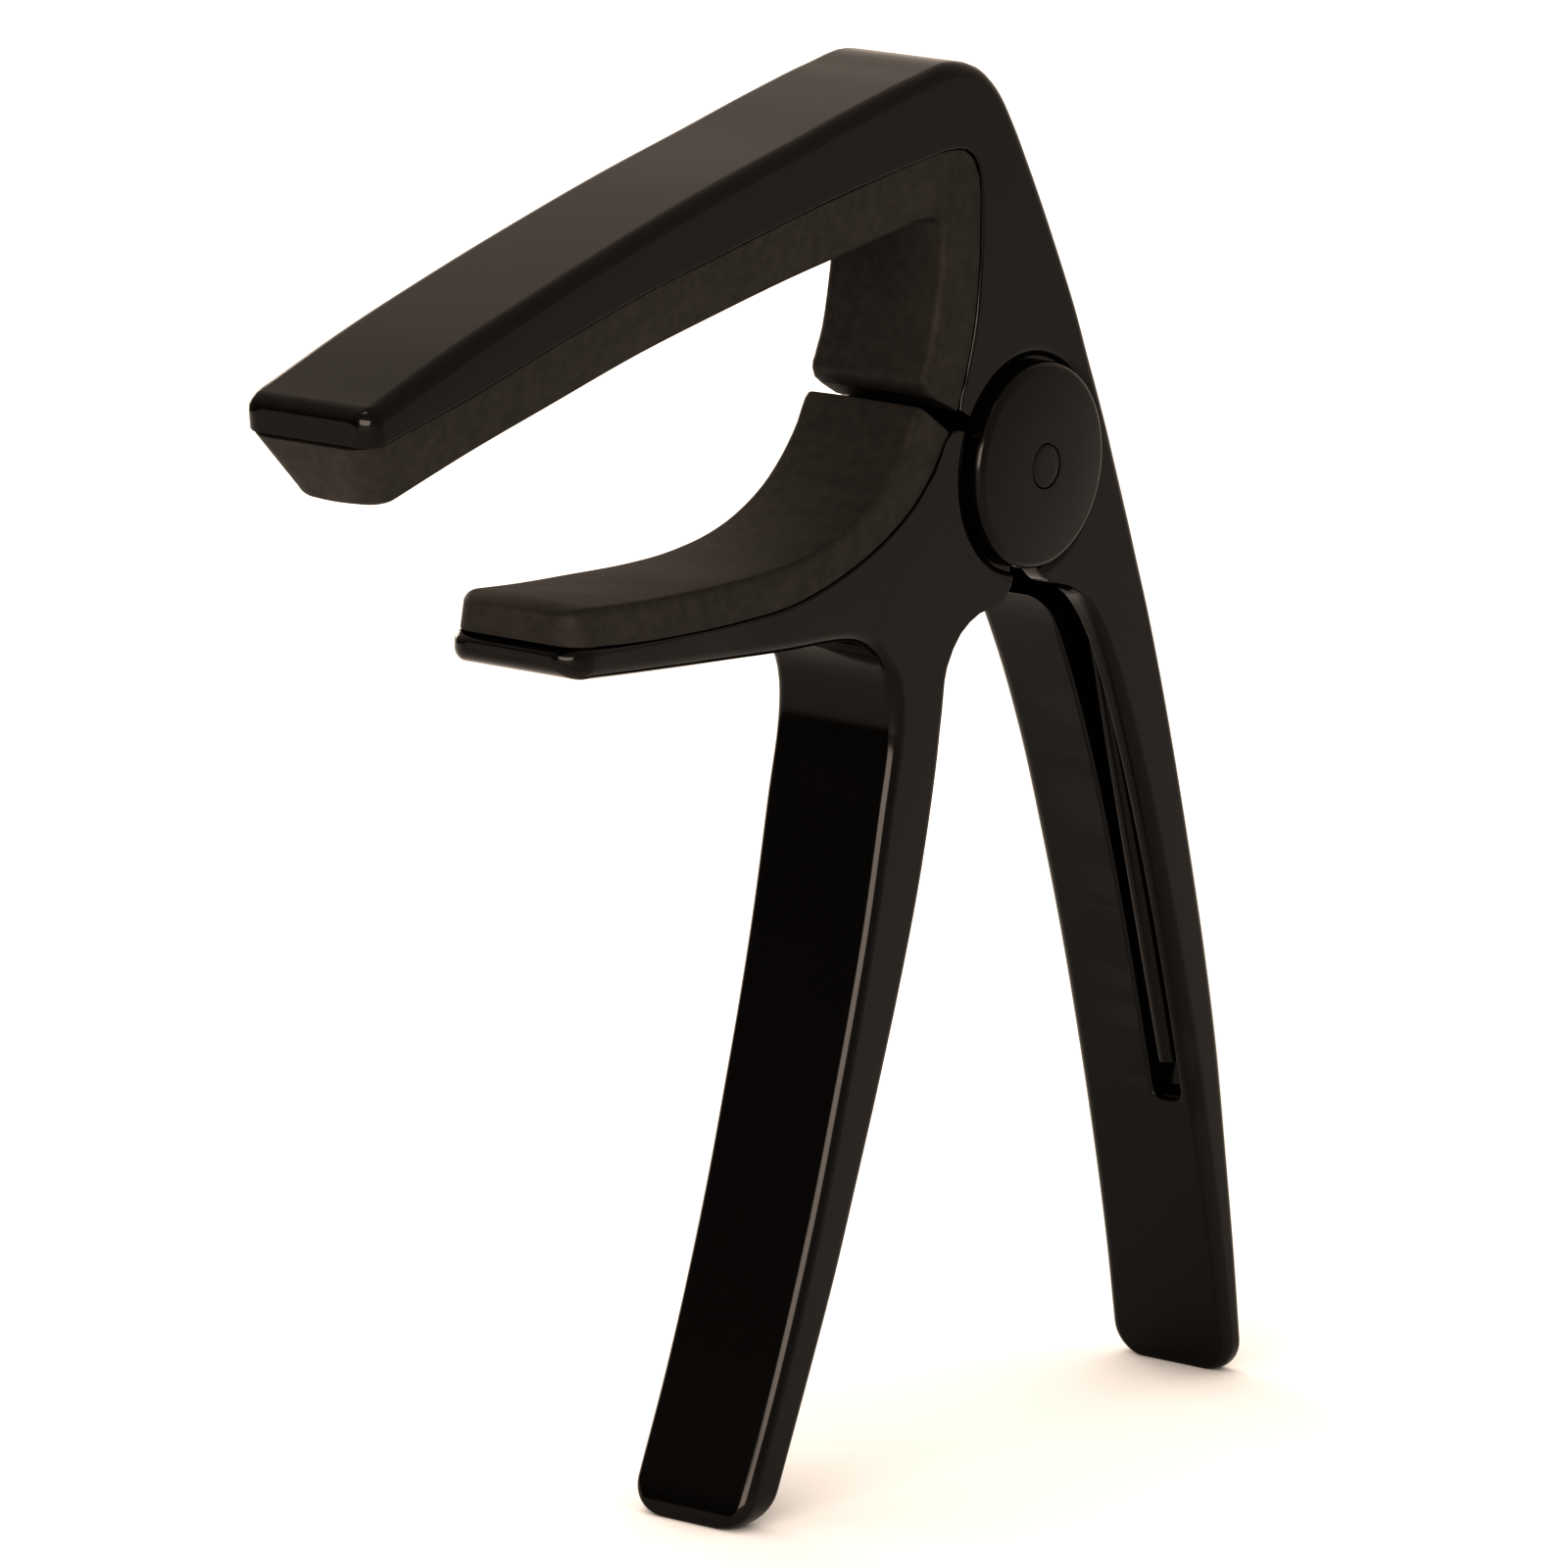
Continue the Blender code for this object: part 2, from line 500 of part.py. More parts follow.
def make_cap(name, side):
    """A crowned cap with a bore for the pin, turned as one closed ring."""
    inner = CAP_RIM - CAP_THICKNESS
    hole = PIN_RADIUS + GAP
    profile = [(hole, side * inner), (CAP_RADIUS, side * inner)]
    for k in range(CORNER_STEPS + 1):
        turn = math.pi / 2 * k / CORNER_STEPS
        radius = CAP_RADIUS - CAP_EDGE + CAP_EDGE * math.cos(turn)
        profile.append((radius, side * (CAP_RIM - CAP_EDGE + CAP_EDGE * math.sin(turn))))
    crown_steps = 3
    for k in range(1, crown_steps + 1):
        t = 1 - k / crown_steps
        radius = hole + (CAP_RADIUS - CAP_EDGE - hole) * t
        profile.append((radius, side * (CAP_RIM + CAP_CROWN * (1 - t * t))))
    return turned(name, profile, BLACK_STEEL, closed_ring=True)


def make_pin():
    profile = [(PIN_RADIUS - PIN_CHAMFER, -PIN_END), (PIN_RADIUS, -PIN_END + PIN_CHAMFER),
               (PIN_RADIUS, PIN_END - PIN_CHAMFER), (PIN_RADIUS - PIN_CHAMFER, PIN_END)]
    return turned("pivot_pin", profile, BLACK_STEEL)


def make_tube(name, inner_radius, outer_radius, y_low, y_high, spec):
    profile = [(inner_radius, y_low), (outer_radius, y_low), (outer_radius, y_high), (inner_radius, y_high)]
    return turned(name, profile, spec, closed_ring=True)


def make_hinge_hardware():
    make_pin()
    make_cap("pivot_cap_near", -1)
    make_cap("pivot_cap_far", 1)
    coil_end = FRONT_LEG_Y + WIRE_RADIUS
    make_tube("pivot_sleeve", BORE_RADIUS, SLEEVE_RADIUS, -CHEEK_INNER + GAP, coil_end, STEEL)
    near = LUG_NEAR - GAP - WASHER_THICKNESS
    make_tube("thrust_washer_coil", BORE_RADIUS, WASHER_RADIUS, near, near + WASHER_THICKNESS, NYLON)
    far = LUG_FAR + GAP
    make_tube("thrust_washer_fork", BORE_RADIUS, WASHER_RADIUS, far, far + WASHER_THICKNESS, NYLON)


def main():
    clear_scene()
    make_rear_frame()
    make_front_lever()
    make_pads()
    make_torsion_spring()
    make_hinge_hardware()


main()
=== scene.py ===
"""Looks of the spring clamp capo: detailed castings, pads, hinge and spring round the CAD frame.

Shapes are laid out in millimetres round the hinge axis, as (x, z) in the capo's plane and y across
it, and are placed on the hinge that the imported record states.
"""

import math

import bmesh
import bpy
import numpy as np
from mathutils import Matrix, Vector
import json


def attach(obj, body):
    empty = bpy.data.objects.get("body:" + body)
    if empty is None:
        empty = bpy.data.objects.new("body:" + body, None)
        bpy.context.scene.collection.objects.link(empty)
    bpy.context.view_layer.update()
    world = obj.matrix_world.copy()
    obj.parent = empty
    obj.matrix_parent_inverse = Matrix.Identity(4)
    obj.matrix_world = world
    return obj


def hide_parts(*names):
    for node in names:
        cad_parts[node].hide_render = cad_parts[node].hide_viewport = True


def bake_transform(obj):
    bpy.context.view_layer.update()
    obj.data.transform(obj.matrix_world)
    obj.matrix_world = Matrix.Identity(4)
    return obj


MM = 0.001

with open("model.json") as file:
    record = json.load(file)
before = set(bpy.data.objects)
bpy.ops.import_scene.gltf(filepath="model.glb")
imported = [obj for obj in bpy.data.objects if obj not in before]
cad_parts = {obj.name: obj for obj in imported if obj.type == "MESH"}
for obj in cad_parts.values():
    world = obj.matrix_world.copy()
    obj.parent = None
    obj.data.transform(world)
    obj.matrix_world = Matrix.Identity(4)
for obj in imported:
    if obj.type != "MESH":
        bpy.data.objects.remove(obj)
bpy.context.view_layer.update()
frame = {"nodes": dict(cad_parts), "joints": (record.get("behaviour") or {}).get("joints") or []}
HINGE = Vector(frame["joints"][0]["pos_m"])

# Layers across the hinge, along Y. The near side is -Y.
FACE = 6.0                # side faces of the castings
PAST_FACE = 9.0           # end of a cutter that runs out through a side face
CHEEK_INNER = 4.15        # inner faces of the hinge fork
POCKET_PLAY = 0.02        # steps between the cuts in the fork, so that no two share a plane
REAR_SLOT_PLAY = 0.04
COUNTERBORE_FLOOR = 5.4
LUG_NEAR = 1.7            # the lever's hinge lug lies between these
LUG_FAR = 3.4
SLAB_PLAY = 0.05

PIN_RADIUS = 1.7
BORE_RADIUS = 2.05
LUG_RADIUS = 7.0
CAVITY_RADIUS = 7.7
LEVER_RELIEF_RADIUS = 7.9
CAP_RADIUS = 8.1
FRAME_SEAT_RADIUS = 8.4
LEVER_SEAT_RADIUS = 8.5
SEAT_RIM_WIDTH = 1.0      # rolled edge round a cap's seat
SEAT_RIM_DEPTH = 0.55
SEAT_PAST_FACE = 2.0

CAP_RIM = 7.2
CAP_CROWN = 0.3
CAP_EDGE = 0.7
CAP_CHAMFER = 0.07
CAP_THICKNESS = 1.6
PIN_END = 7.45
PIN_CHAMFER = 0.08
PIN_PLAY = 0.08

WIRE_RADIUS = 0.9
COIL_RADIUS = 6.4
WIRE_END_ROUND = 0.25
REAR_LEG_Y = -3.0
FRONT_LEG_Y = 0.0
REAR_LEG_BEND = (13.35, -16.0)
REAR_LEG_END = (24.4, -52.0)
FRONT_LEG_END = (-19.7, -47.0)
LEG_BEND_REACH = 4.0      # the bend begins and ends this far from its corner

SLOT_WIDTH = 2.7
SLOT_FLOOR_PLAY = 0.35
SLOT_LIP = 0.4            # rounding along a slot's mouth
SLOT_LIP_RUN = 3.0        # the lip grows to its full size over this height below the slot's top
SLOT_LIP_LEAST = 0.05     # and starts at this share of it
SLOT_LEAST_DEPTH = 0.05   # depth of a slot below its lip, where its floor comes up to the mouth
SLOT_PAST_MOUTH = 3.0
SLOT_END_ROUND = 1.1
REAR_SLOT_START = -1.0    # height where the cut begins, inside the hinge
REAR_SLOT_TOP = -12.3     # height where the mouth begins
REAR_SLOT_TOP_ROUND = 1.7     # rounding of the far wall's top corner, at the pocket's lower edge
FRONT_SLOT_START = 0.0
FRONT_SLOT_TOP = -13.0
FRONT_SLOT_TOP_ROUND = 0.1

STATION_STEP = 1.5
CORNER_STEPS = 7
END_STEPS = 9
ROUND_SEGMENTS = 128
COIL_STEPS = 160
LEG_STEPS = 14
CROWN_STEPS = 14
CHAMFER_STEPS = 4
FLAT_STEPS = 5

SHARP_ANGLE = math.radians(40.0)
PAD_CROWN = 0.12
MOST_OF_SPAN = 0.45       # a corner's radius takes at most this share of its face
MOST_OF_WIDTH = 0.9

# Columns of a station that hold its outer and its inner point.
OUTER = [0, 1]
INNER = [2, 3]

# A lofted body is a strip between two edge lines. Each row is one station:
# outer x, outer z, inner x, inner z, outer half width, inner half width,
# outer edge radius, inner edge radius.
FRAME_STATIONS = [
    (-78.95, 14.95, -78.6, 12.1, 6.2, 6.2, 1.3, 0.22),
    (-70.0, 18.0, -69.0, 14.2, 6.15, 6.15, 1.3, 0.22),
    (-60.0, 20.95, -58.8, 16.85, 6.1, 6.1, 1.2, 0.22),
    (-50.0, 23.7, -48.6, 19.3, 6.05, 6.05, 1.2, 0.22),
    (-40.0, 26.25, -38.5, 21.25, 6.0, 6.0, 1.2, 0.22),
    (-30.0, 28.5, -28.8, 23.15, 6.0, 6.0, 1.2, 0.22),
    (-21.0, 30.55, -20.5, 24.55, 6.0, 6.0, 1.2, 0.22),
    (-14.5, 31.85, -14.5, 25.4, 6.0, 6.0, 1.2, 0.22),
    (-10.0, 32.45, -11.0, 25.8, 6.0, 6.0, 1.2, 0.22),
    (-7.1, 31.75, -9.1, 25.6, 6.0, 6.0, 1.2, 0.22),
    (-4.6, 29.9, -7.8, 24.75, 6.0, 6.0, 1.2, 0.22),
    (-2.7, 27.4, -7.15, 23.4, 6.0, 6.0, 1.2, 0.22),
    (-0.55, 23.9, -6.9, 20.5, 6.0, 6.0, 1.2, 0.22),
    (3.65, 16.3, -7.0, 15.3, 6.0, 6.0, 1.2, 0.22),
    (6.4, 10.9, -7.6, 10.9, 6.0, 6.0, 1.2, 0.22),
    (7.95, 7.4, -8.6, 7.5, 6.0, 6.0, 1.2, 0.22),
    (9.05, 5.0, -9.2, 5.4, 6.0, 6.0, 1.2, 0.22),
    (9.62, 3.7, -8.35, 4.85, 6.0, 6.0, 1.2, 0.22),
    (10.18, 2.4, -7.0, 4.4, 6.0, 6.0, 1.2, 0.3),
    (10.74, 1.1, -7.0, 2.95, 6.0, 6.0, 1.2, 0.3),
    (11.3, -0.25, -7.6, 0.0, 6.0, 6.0, 1.2, 0.3),
    (11.99, -1.9, -6.58, -3.8, 6.0, 6.0, 1.2, 0.3),
    (12.77, -3.8, -3.8, -6.58, 6.0, 6.0, 1.2, 0.3),
    (13.53, -5.7, -0.95, -7.55, 6.0, 6.0, 1.2, 0.3),
    (14.0, -6.9, 0.6, -7.65, 6.0, 6.0, 1.2, 0.4),
    (14.54, -8.3, 1.6, -8.75, 6.0, 6.0, 1.2, 0.5),
    (15.0, -9.5, 2.9, -9.75, 6.0, 6.0, 1.2, 0.7),
    (15.76, -11.5, 4.9, -10.3, 6.0, 6.0, 1.2, 0.8),
    (16.57, -13.7, 7.3, -11.5, 6.0, 6.0, 1.2, 0.9),
    (17.32, -15.8, 9.1, -13.5, 6.0, 6.0, 1.2, 1.0),
    (18.4, -18.9, 11.1, -17.0, 6.0, 6.0, 1.2, 1.1),
    (20.7, -25.8, 14.52, -24.6, 5.95, 5.95, 1.2, 1.2),
    (23.4, -34.9, 18.07, -34.2, 5.95, 5.95, 1.2, 1.2),
    (25.7, -43.0, 20.87, -42.8, 5.9, 5.9, 1.2, 1.2),
    (27.6, -51.0, 23.29, -51.0, 5.9, 5.9, 1.2, 1.2),
    (29.35, -60.5, 25.85, -60.5, 5.85, 5.85, 1.1, 1.1),
    (30.75, -69.0, 27.93, -69.0, 5.85, 5.85, 1.0, 1.0),
    (31.75, -76.2, 29.42, -76.2, 5.85, 5.85, 0.9, 0.9),
]

LEVER_STATIONS = [
    (-54.4, -6.35, -54.4, -8.9, 6.4, 6.4, 0.7, 1.2),
    (-50.0, -6.75, -49.8, -9.25, 6.3, 6.3, 0.5, 1.2),
    (-43.0, -7.1, -43.0, -9.7, 6.2, 6.2, 0.22, 1.1),
    (-36.0, -7.2, -36.4, -10.1, 6.0, 6.0, 0.22, 1.0),
    (-29.5, -6.85, -30.0, -10.45, 6.0, 6.0, 0.22, 1.0),
    (-24.6, -5.8, -25.0, -10.6, 6.0, 6.0, 0.22, 1.0),
    (-20.8, -4.55, -23.0, -10.75, 6.0, 6.0, 0.22, 1.0),
    (-17.4, -3.0, -21.6, -11.0, 6.0, 6.0, 0.22, 1.0),
    (-14.5, -1.1, -20.7, -11.3, 6.0, 6.0, 0.22, 1.0),
    (-12.3, 1.1, -20.1, -11.55, 6.0, 6.0, 0.22, 1.0),
    (-10.1, 3.9, -20.0, -11.6, 6.0, 6.0, 0.22, 1.0),
    (-8.6, 3.8, -19.8, -11.72, 6.0, 6.0, 0.22, 1.0),
    (-5.5, 1.0, -19.6, -11.84, 6.0, 6.0, 0.22, 1.0),
    (-3.0, -3.2, -19.4, -11.96, 6.0, 6.0, 0.22, 1.0),
    (-1.8, -7.2, -19.2, -12.08, 6.0, 6.0, 0.4, 1.0),
    (-1.85, -9.3, -19.05, -12.2, 6.0, 6.0, 0.6, 1.0),
    (-3.0, -10.3, -18.85, -12.35, 6.0, 6.0, 0.7, 1.0),
    (-5.6, -10.75, -18.3, -12.9, 6.0, 6.0, 0.8, 1.0),
    (-8.1, -12.0, -17.3, -14.25, 6.0, 6.0, 0.8, 1.1),
    (-9.75, -14.4, -16.7, -16.3, 6.0, 6.0, 0.9, 1.1),
    (-10.25, -17.8, -16.7, -19.2, 6.0, 6.0, 1.0, 1.1),
    (-10.85, -22.5, -17.75, -24.8, 6.0, 6.0, 1.2, 1.1),
    (-12.6, -30.9, -19.4, -33.3, 5.95, 5.95, 1.2, 1.1),
    (-14.7, -38.5, -21.0, -40.0, 5.9, 5.9, 1.2, 1.1),
    (-17.1, -46.0, -22.9, -47.0, 5.85, 5.85, 1.2, 1.1),
    (-19.6, -53.2, -24.9, -54.0, 5.8, 5.8, 1.2, 1.1),
    (-22.2, -60.5, -27.2, -61.0, 5.75, 5.75, 1.2, 1.1),
    (-25.3, -67.9, -29.85, -68.2, 5.7, 5.7, 1.1, 1.1),
    (-28.9, -76.2, -33.25, -76.2, 5.65, 5.65, 1.0, 1.1),
]

# The pads' outer edge lines lie on the castings' seams.
BAR_PAD_STATIONS = [
    (-78.3, 12.2, -74.9, 7.2, 6.05, 4.3, 0.15, 0.8),
    (-69.0, 14.2, -67.0, 9.65, 6.0, 4.8, 0.15, 0.8),
    (-58.8, 16.85, -57.5, 12.0, 5.95, 4.9, 0.15, 0.8),
    (-48.6, 19.3, -47.6, 14.35, 5.85, 4.9, 0.15, 0.8),
    (-38.5, 21.25, -38.2, 16.2, 5.85, 4.9, 0.15, 0.8),
    (-28.8, 23.15, -28.8, 17.9, 5.85, 4.9, 0.15, 0.8),
    (-20.5, 24.55, -20.5, 19.2, 5.85, 4.95, 0.15, 0.8),
    (-15.5, 25.3, -15.2, 20.05, 5.85, 5.0, 0.15, 0.8),
    (-11.05, 25.8, -12.7, 20.4, 5.85, 5.2, 0.15, 0.8),
    (-9.2, 25.6, -11.7, 20.35, 5.85, 5.45, 0.15, 0.8),
    (-7.9, 24.7, -11.2, 19.85, 5.85, 5.6, 0.15, 0.8),
    (-7.2, 23.4, -11.1, 18.8, 5.85, 5.65, 0.15, 0.8),
    (-6.92, 20.5, -11.1, 17.4, 5.85, 5.65, 0.15, 0.8),
    (-7.02, 15.3, -11.5, 14.5, 5.85, 5.65, 0.15, 0.8),
    (-7.62, 10.9, -12.25, 10.9, 5.85, 5.65, 0.15, 0.8),
    (-8.6, 7.7, -13.1, 8.9, 5.85, 5.65, 0.15, 0.8),
    (-9.15, 6.1, -13.35, 8.0, 5.85, 5.65, 0.15, 0.8),
    (-9.3, 5.65, -13.05, 7.3, 5.85, 5.65, 0.15, 0.8),
    (-9.45, 5.4, -12.2, 6.75, 5.85, 5.65, 0.15, 0.8),
]

CRADLE_PAD_STATIONS = [
    (-53.8, -6.39, -53.8, -3.5, 6.3, 6.05, 0.15, 0.8),
    (-50.0, -6.73, -50.0, -3.75, 6.2, 5.95, 0.15, 0.7),
    (-43.0, -7.08, -43.0, -4.0, 6.1, 5.85, 0.15, 0.6),
    (-36.0, -7.18, -36.0, -4.1, 5.85, 5.6, 0.15, 0.6),
    (-29.5, -6.83, -30.3, -3.85, 5.85, 5.6, 0.15, 0.6),
    (-24.6, -5.78, -25.9, -3.15, 5.85, 5.6, 0.15, 0.6),
    (-20.8, -4.53, -22.6, -2.1, 5.85, 5.6, 0.15, 0.6),
    (-17.4, -2.98, -19.4, -0.4, 5.85, 5.6, 0.15, 0.6),
    (-14.5, -1.08, -16.9, 1.75, 5.85, 5.6, 0.15, 0.6),
    (-12.3, 1.12, -15.05, 4.05, 5.85, 5.6, 0.15, 0.6),
    (-10.95, 3.05, -14.15, 5.75, 5.85, 5.6, 0.15, 0.6),
    (-10.45, 3.75, -13.75, 6.1, 5.85, 5.6, 0.15, 0.6),
]

# Rounded ends: how far the end runs on past its last station (x, z), then how much it
# narrows at its sides, at its outer edge line and at its inner edge line.
ARM_TIP = ((-1.55, -0.3), 1.7, 1.0, 0.1)
REAR_FOOT = ((0.4, -2.7), 2.5, 0.6, 0.4)
CRADLE_TIP = ((-2.3, 0.0), 2.4, 0.6, 1.4)
FRONT_FOOT = ((-1.1, -2.7), 2.5, 1.0, 1.0)
BAR_PAD_TIP = ((-1.85, -0.5), 2.4, 0.1, 0.5)
BAR_PAD_END = ((0.0, -0.05), 0.3, 0.1, 0.3)
CRADLE_PAD_TIP = ((-2.3, 0.0), 2.3, 0.1, 0.8)
CRADLE_PAD_END = ((0.1, 0.15), 0.3, 0.05, 0.3)

# Outline of the pocket below the hinge's round cavity, where the spring's rear leg leaves the coil.
POCKET = [(-1.0, -4.0), (8.4, -2.5), (10.6, -8.0), (10.7, -10.4), (9.6, -11.8), (5.0, -13.4), (-3.0, -12.0)]

# Past the spring leg's end, each slot's floor comes out towards its mouth through these points.
REAR_SLOT_FLOOR_END = [(26.1, -54.3), (24.6, -55.6)]
FRONT_SLOT_FLOOR_END = [(-21.3, -49.0), (-19.5, -50.0)]

# The stations from which each slot's mouth runs down its handle.
REAR_MOUTH_STATION = 27
FRONT_MOUTH_STATION = 18

# The camera aims at a point laid out round the hinge, and stands back from it by its distance.
# Angles are in degrees.
CAMERA_AIM = (-16.09, 5.24, -24.37)
CAMERA_AZIMUTH = -52.5
CAMERA_ELEVATION = 12.03
CAMERA_ROLL = 0.95
CAMERA_DISTANCE = 898.2
CAMERA_LENS = 266.8
SENSOR_WIDTH = 36.0

# The studio, in metres, watts and degrees.
LIGHT_TINT = (1.0, 0.88, 0.78)
SKY_STRENGTH = 0.62
FLOOR_HALF = 3.0
LIGHT_AIM = (0.0, 0.0, 0.06)

# Each light: name, azimuth, elevation, distance, size, power, and whether gloss mirrors it.
LIGHTS = [
    ("overhead", 150, 76, 1.1, (0.9, 0.9), 2.1, False),
    ("key", -70, 13, 0.9, (0.7, 0.36), 3.6, True),
    ("rim", -202, 12, 0.95, (0.45, 0.4), 1.6, True),
    ("cap_light", -100, 67, 1.0, (0.25, 0.25), 0.6, True),
]

# A card that keeps gloss dark: its first and last azimuth, its top's elevation and its distance.
FLAG_FROM = -185
FLAG_TO = -98
FLAG_TOP = 58
FLAG_DISTANCE = 0.5
FLAG_LIFT = 0.001
FLAG_STEPS = 8


def at(x, y, z):
    """A point laid out round the hinge axis, in metres in the row frame."""
    return Vector((x, y, z)) * MM + HINGE


# Materials -----------------------------------------------------------------------------------

class Nodes:
    """A material's nodes, added and linked in short calls."""

    def __init__(self, name):
        self.material = bpy.data.materials.new(name)
        self.material.use_nodes = True
        self.tree = self.material.node_tree
        self.shader = self.tree.nodes["Principled BSDF"]

    def add(self, kind, **settings):
        node = self.tree.nodes.new(kind)
        for key, value in settings.items():
            setattr(node, key, value)
        return node

    def link(self, source, target):
        self.tree.links.new(source, target)

    def position(self):
        return self.add("ShaderNodeTexCoord").outputs["Object"]

    def noise(self, scale, detail=3.0, roughness=0.6):
        node = self.add("ShaderNodeTexNoise")
        node.inputs["Scale"].default_value = scale
        node.inputs["Detail"].default_value = detail
        node.inputs["Roughness"].default_value = roughness
        self.link(self.position(), node.inputs["Vector"])
        return node.outputs["Fac"]

    def span(self, value, low, high, out_low, out_high):
        """Read a value from one range into another."""
        node = self.add("ShaderNodeMapRange")
        self.link(value, node.inputs["Value"])
        node.inputs["From Min"].default_value = low
        node.inputs["From Max"].default_value = high
        node.inputs["To Min"].default_value = out_low
        node.inputs["To Max"].default_value = out_high
        return node.outputs["Result"]

    def blend_colours(self, factor, first, second):
        """Mix two colours. The mix node's colours are its inputs 6 and 7 and its output 2."""
        node = self.add("ShaderNodeMix", data_type="RGBA")
        self.link(factor, node.inputs["Factor"])
        node.inputs[6].default_value = (*first, 1.0)
        node.inputs[7].default_value = (*second, 1.0)
        return node.outputs[2]

    def bump(self, heights):
        """Stack bumps, each a height, a depth in metres and a strength."""
        normal = None
        for height, depth, strength in heights:
            node = self.add("ShaderNodeBump")
            node.inputs["Distance"].default_value = depth
            node.inputs["Strength"].default_value = strength
            self.link(height, node.inputs["Height"])
            if normal is not None:
                self.link(normal, node.inputs["Normal"])
            normal = node.outputs["Normal"]
        self.link(normal, self.shader.inputs["Normal"])


def black_paint():
    """Black gloss enamel: a faint orange peel and a fine grain; its colour is a little lighter on its
    convex edges.
    """
    m = Nodes("black_paint")
    grain = m.noise(5200.0, 2.0)
    peel = m.noise(700.0, 2.0, 0.4)
    cloud = m.noise(60.0, 4.0)
    edge = m.add("ShaderNodeNewGeometry").outputs["Pointiness"]
    # The base colour turns a little lighter where Pointiness marks a convex edge.
    lighter_on_convex_edges = m.span(edge, 0.53, 0.62, 0.0, 1.0)
    colour = m.blend_colours(lighter_on_convex_edges, (0.0042, 0.0036, 0.0031), (0.011, 0.0095, 0.0085))
    m.link(colour, m.shader.inputs["Base Color"])
    m.link(m.span(cloud, 0.3, 0.7, 0.11, 0.15), m.shader.inputs["Roughness"])
    m.bump([(peel, 0.00002, 0.04), (grain, 0.00002, 0.06)])
    m.shader.inputs["IOR"].default_value = 1.42
    return m.material


def pad_rubber():
    """Black silicone rubber with a matte moulded grain."""
    m = Nodes("pad_rubber")
    grain = m.noise(6500.0, 3.0, 0.7)
    mottle = m.noise(900.0, 3.0)
    cloud = m.noise(90.0, 3.0)
    blotches = m.span(mottle, 0.35, 0.65, 0.0, 1.0)
    m.link(m.blend_colours(blotches, (0.028, 0.0258, 0.0232), (0.038, 0.0352, 0.0322)),
           m.shader.inputs["Base Color"])
    m.link(m.span(cloud, 0.3, 0.7, 0.54, 0.62), m.shader.inputs["Roughness"])
    m.bump([(mottle, 0.00003, 0.15), (grain, 0.00003, 0.5)])
    m.shader.inputs["IOR"].default_value = 1.38
    return m.material


def black_steel():
    """Black coated steel with a fine grain, a little less glossy than the paint."""
    m = Nodes("black_steel")
    grain = m.noise(4200.0, 2.0)
    cloud = m.noise(120.0, 3.0)
    m.link(m.blend_colours(cloud, (0.0045, 0.0038, 0.0032), (0.007, 0.006, 0.0052)),
           m.shader.inputs["Base Color"])
    m.link(m.span(cloud, 0.3, 0.7, 0.16, 0.21), m.shader.inputs["Roughness"])
    m.bump([(grain, 0.00002, 0.14)])
    m.shader.inputs["IOR"].default_value = 1.42
    return m.material


def bare_steel():
    """Drawn steel with fine scratches."""
    m = Nodes("bare_steel")
    scratches = m.noise(2600.0, 4.0)
    m.link(m.blend_colours(scratches, (0.30, 0.29, 0.28), (0.42, 0.41, 0.40)),
           m.shader.inputs["Base Color"])
    m.link(m.span(scratches, 0.3, 0.7, 0.28, 0.45), m.shader.inputs["Roughness"])
    m.bump([(scratches, 0.00001, 0.3)])
    m.shader.inputs["Metallic"].default_value = 1.0
    return m.material


def white_nylon():
    """Off-white nylon with a fine grain."""
    m = Nodes("white_nylon")
    grain = m.noise(3000.0, 3.0)
    m.link(m.blend_colours(grain, (0.66, 0.65, 0.60), (0.74, 0.73, 0.69)),
           m.shader.inputs["Base Color"])
    m.link(m.span(grain, 0.3, 0.7, 0.45, 0.6), m.shader.inputs["Roughness"])
    m.bump([(grain, 0.00001, 0.3)])
    m.shader.inputs["Subsurface Weight"].default_value = 0.1
    return m.material


def pale_floor():
    """A plain pale floor, very slightly cloudy."""
    m = Nodes("pale_floor")
    cloud = m.noise(3.0, 3.0)
    m.link(m.blend_colours(cloud, (0.91, 0.92, 0.93), (0.93, 0.94, 0.95)), m.shader.inputs["Base Color"])
    m.link(m.span(cloud, 0.3, 0.7, 0.75, 0.85), m.shader.inputs["Roughness"])
    return m.material


def dark_card():
    """A matte studio card, darkest at its foot."""
    m = Nodes("dark_card")
    split = m.add("ShaderNodeSeparateXYZ")
    m.link(m.position(), split.inputs["Vector"])
    height = m.span(split.outputs["Z"], 0.03, 0.4, 0.0, 1.0)
    m.link(m.blend_colours(height, (0.17, 0.17, 0.17), (0.6, 0.6, 0.6)), m.shader.inputs["Base Color"])
    m.shader.inputs["Roughness"].default_value = 0.9
    m.shader.inputs["Specular IOR Level"].default_value = 0.0
    return m.material


# Meshes --------------------------------------------------------------------------------------

def mesh_object(name, bm, finish):
    """An object from a bmesh, with its origin on the hinge axis and smooth shading."""
    bmesh.ops.recalc_face_normals(bm, faces=bm.faces)
    bmesh.ops.translate(bm, verts=bm.verts, vec=-HINGE)
    mesh = bpy.data.meshes.new(name)
    bm.to_mesh(mesh)
    bm.free()
    mesh.shade_smooth()
    mesh.set_sharp_from_angle(angle=SHARP_ANGLE)
    if finish is not None:
        mesh.materials.append(finish)
    made = bpy.data.objects.new(name, mesh)
    made.location = HINGE
    bpy.context.collection.objects.link(made)
    return made


def skin(bm, rings, closed=False):
    """Faces between rings of vertices; an open run of rings gets a face on each end."""
    pairs = list(zip(rings, rings[1:]))
    if closed:
        pairs.append((rings[-1], rings[0]))
    else:
        bm.faces.new(rings[0])
        bm.faces.new(rings[-1][::-1])
    for ring, following in pairs:
        for k in range(len(ring)):
            after = (k + 1) % len(ring)
            bm.faces.new((ring[k], ring[after], following[after], following[k]))


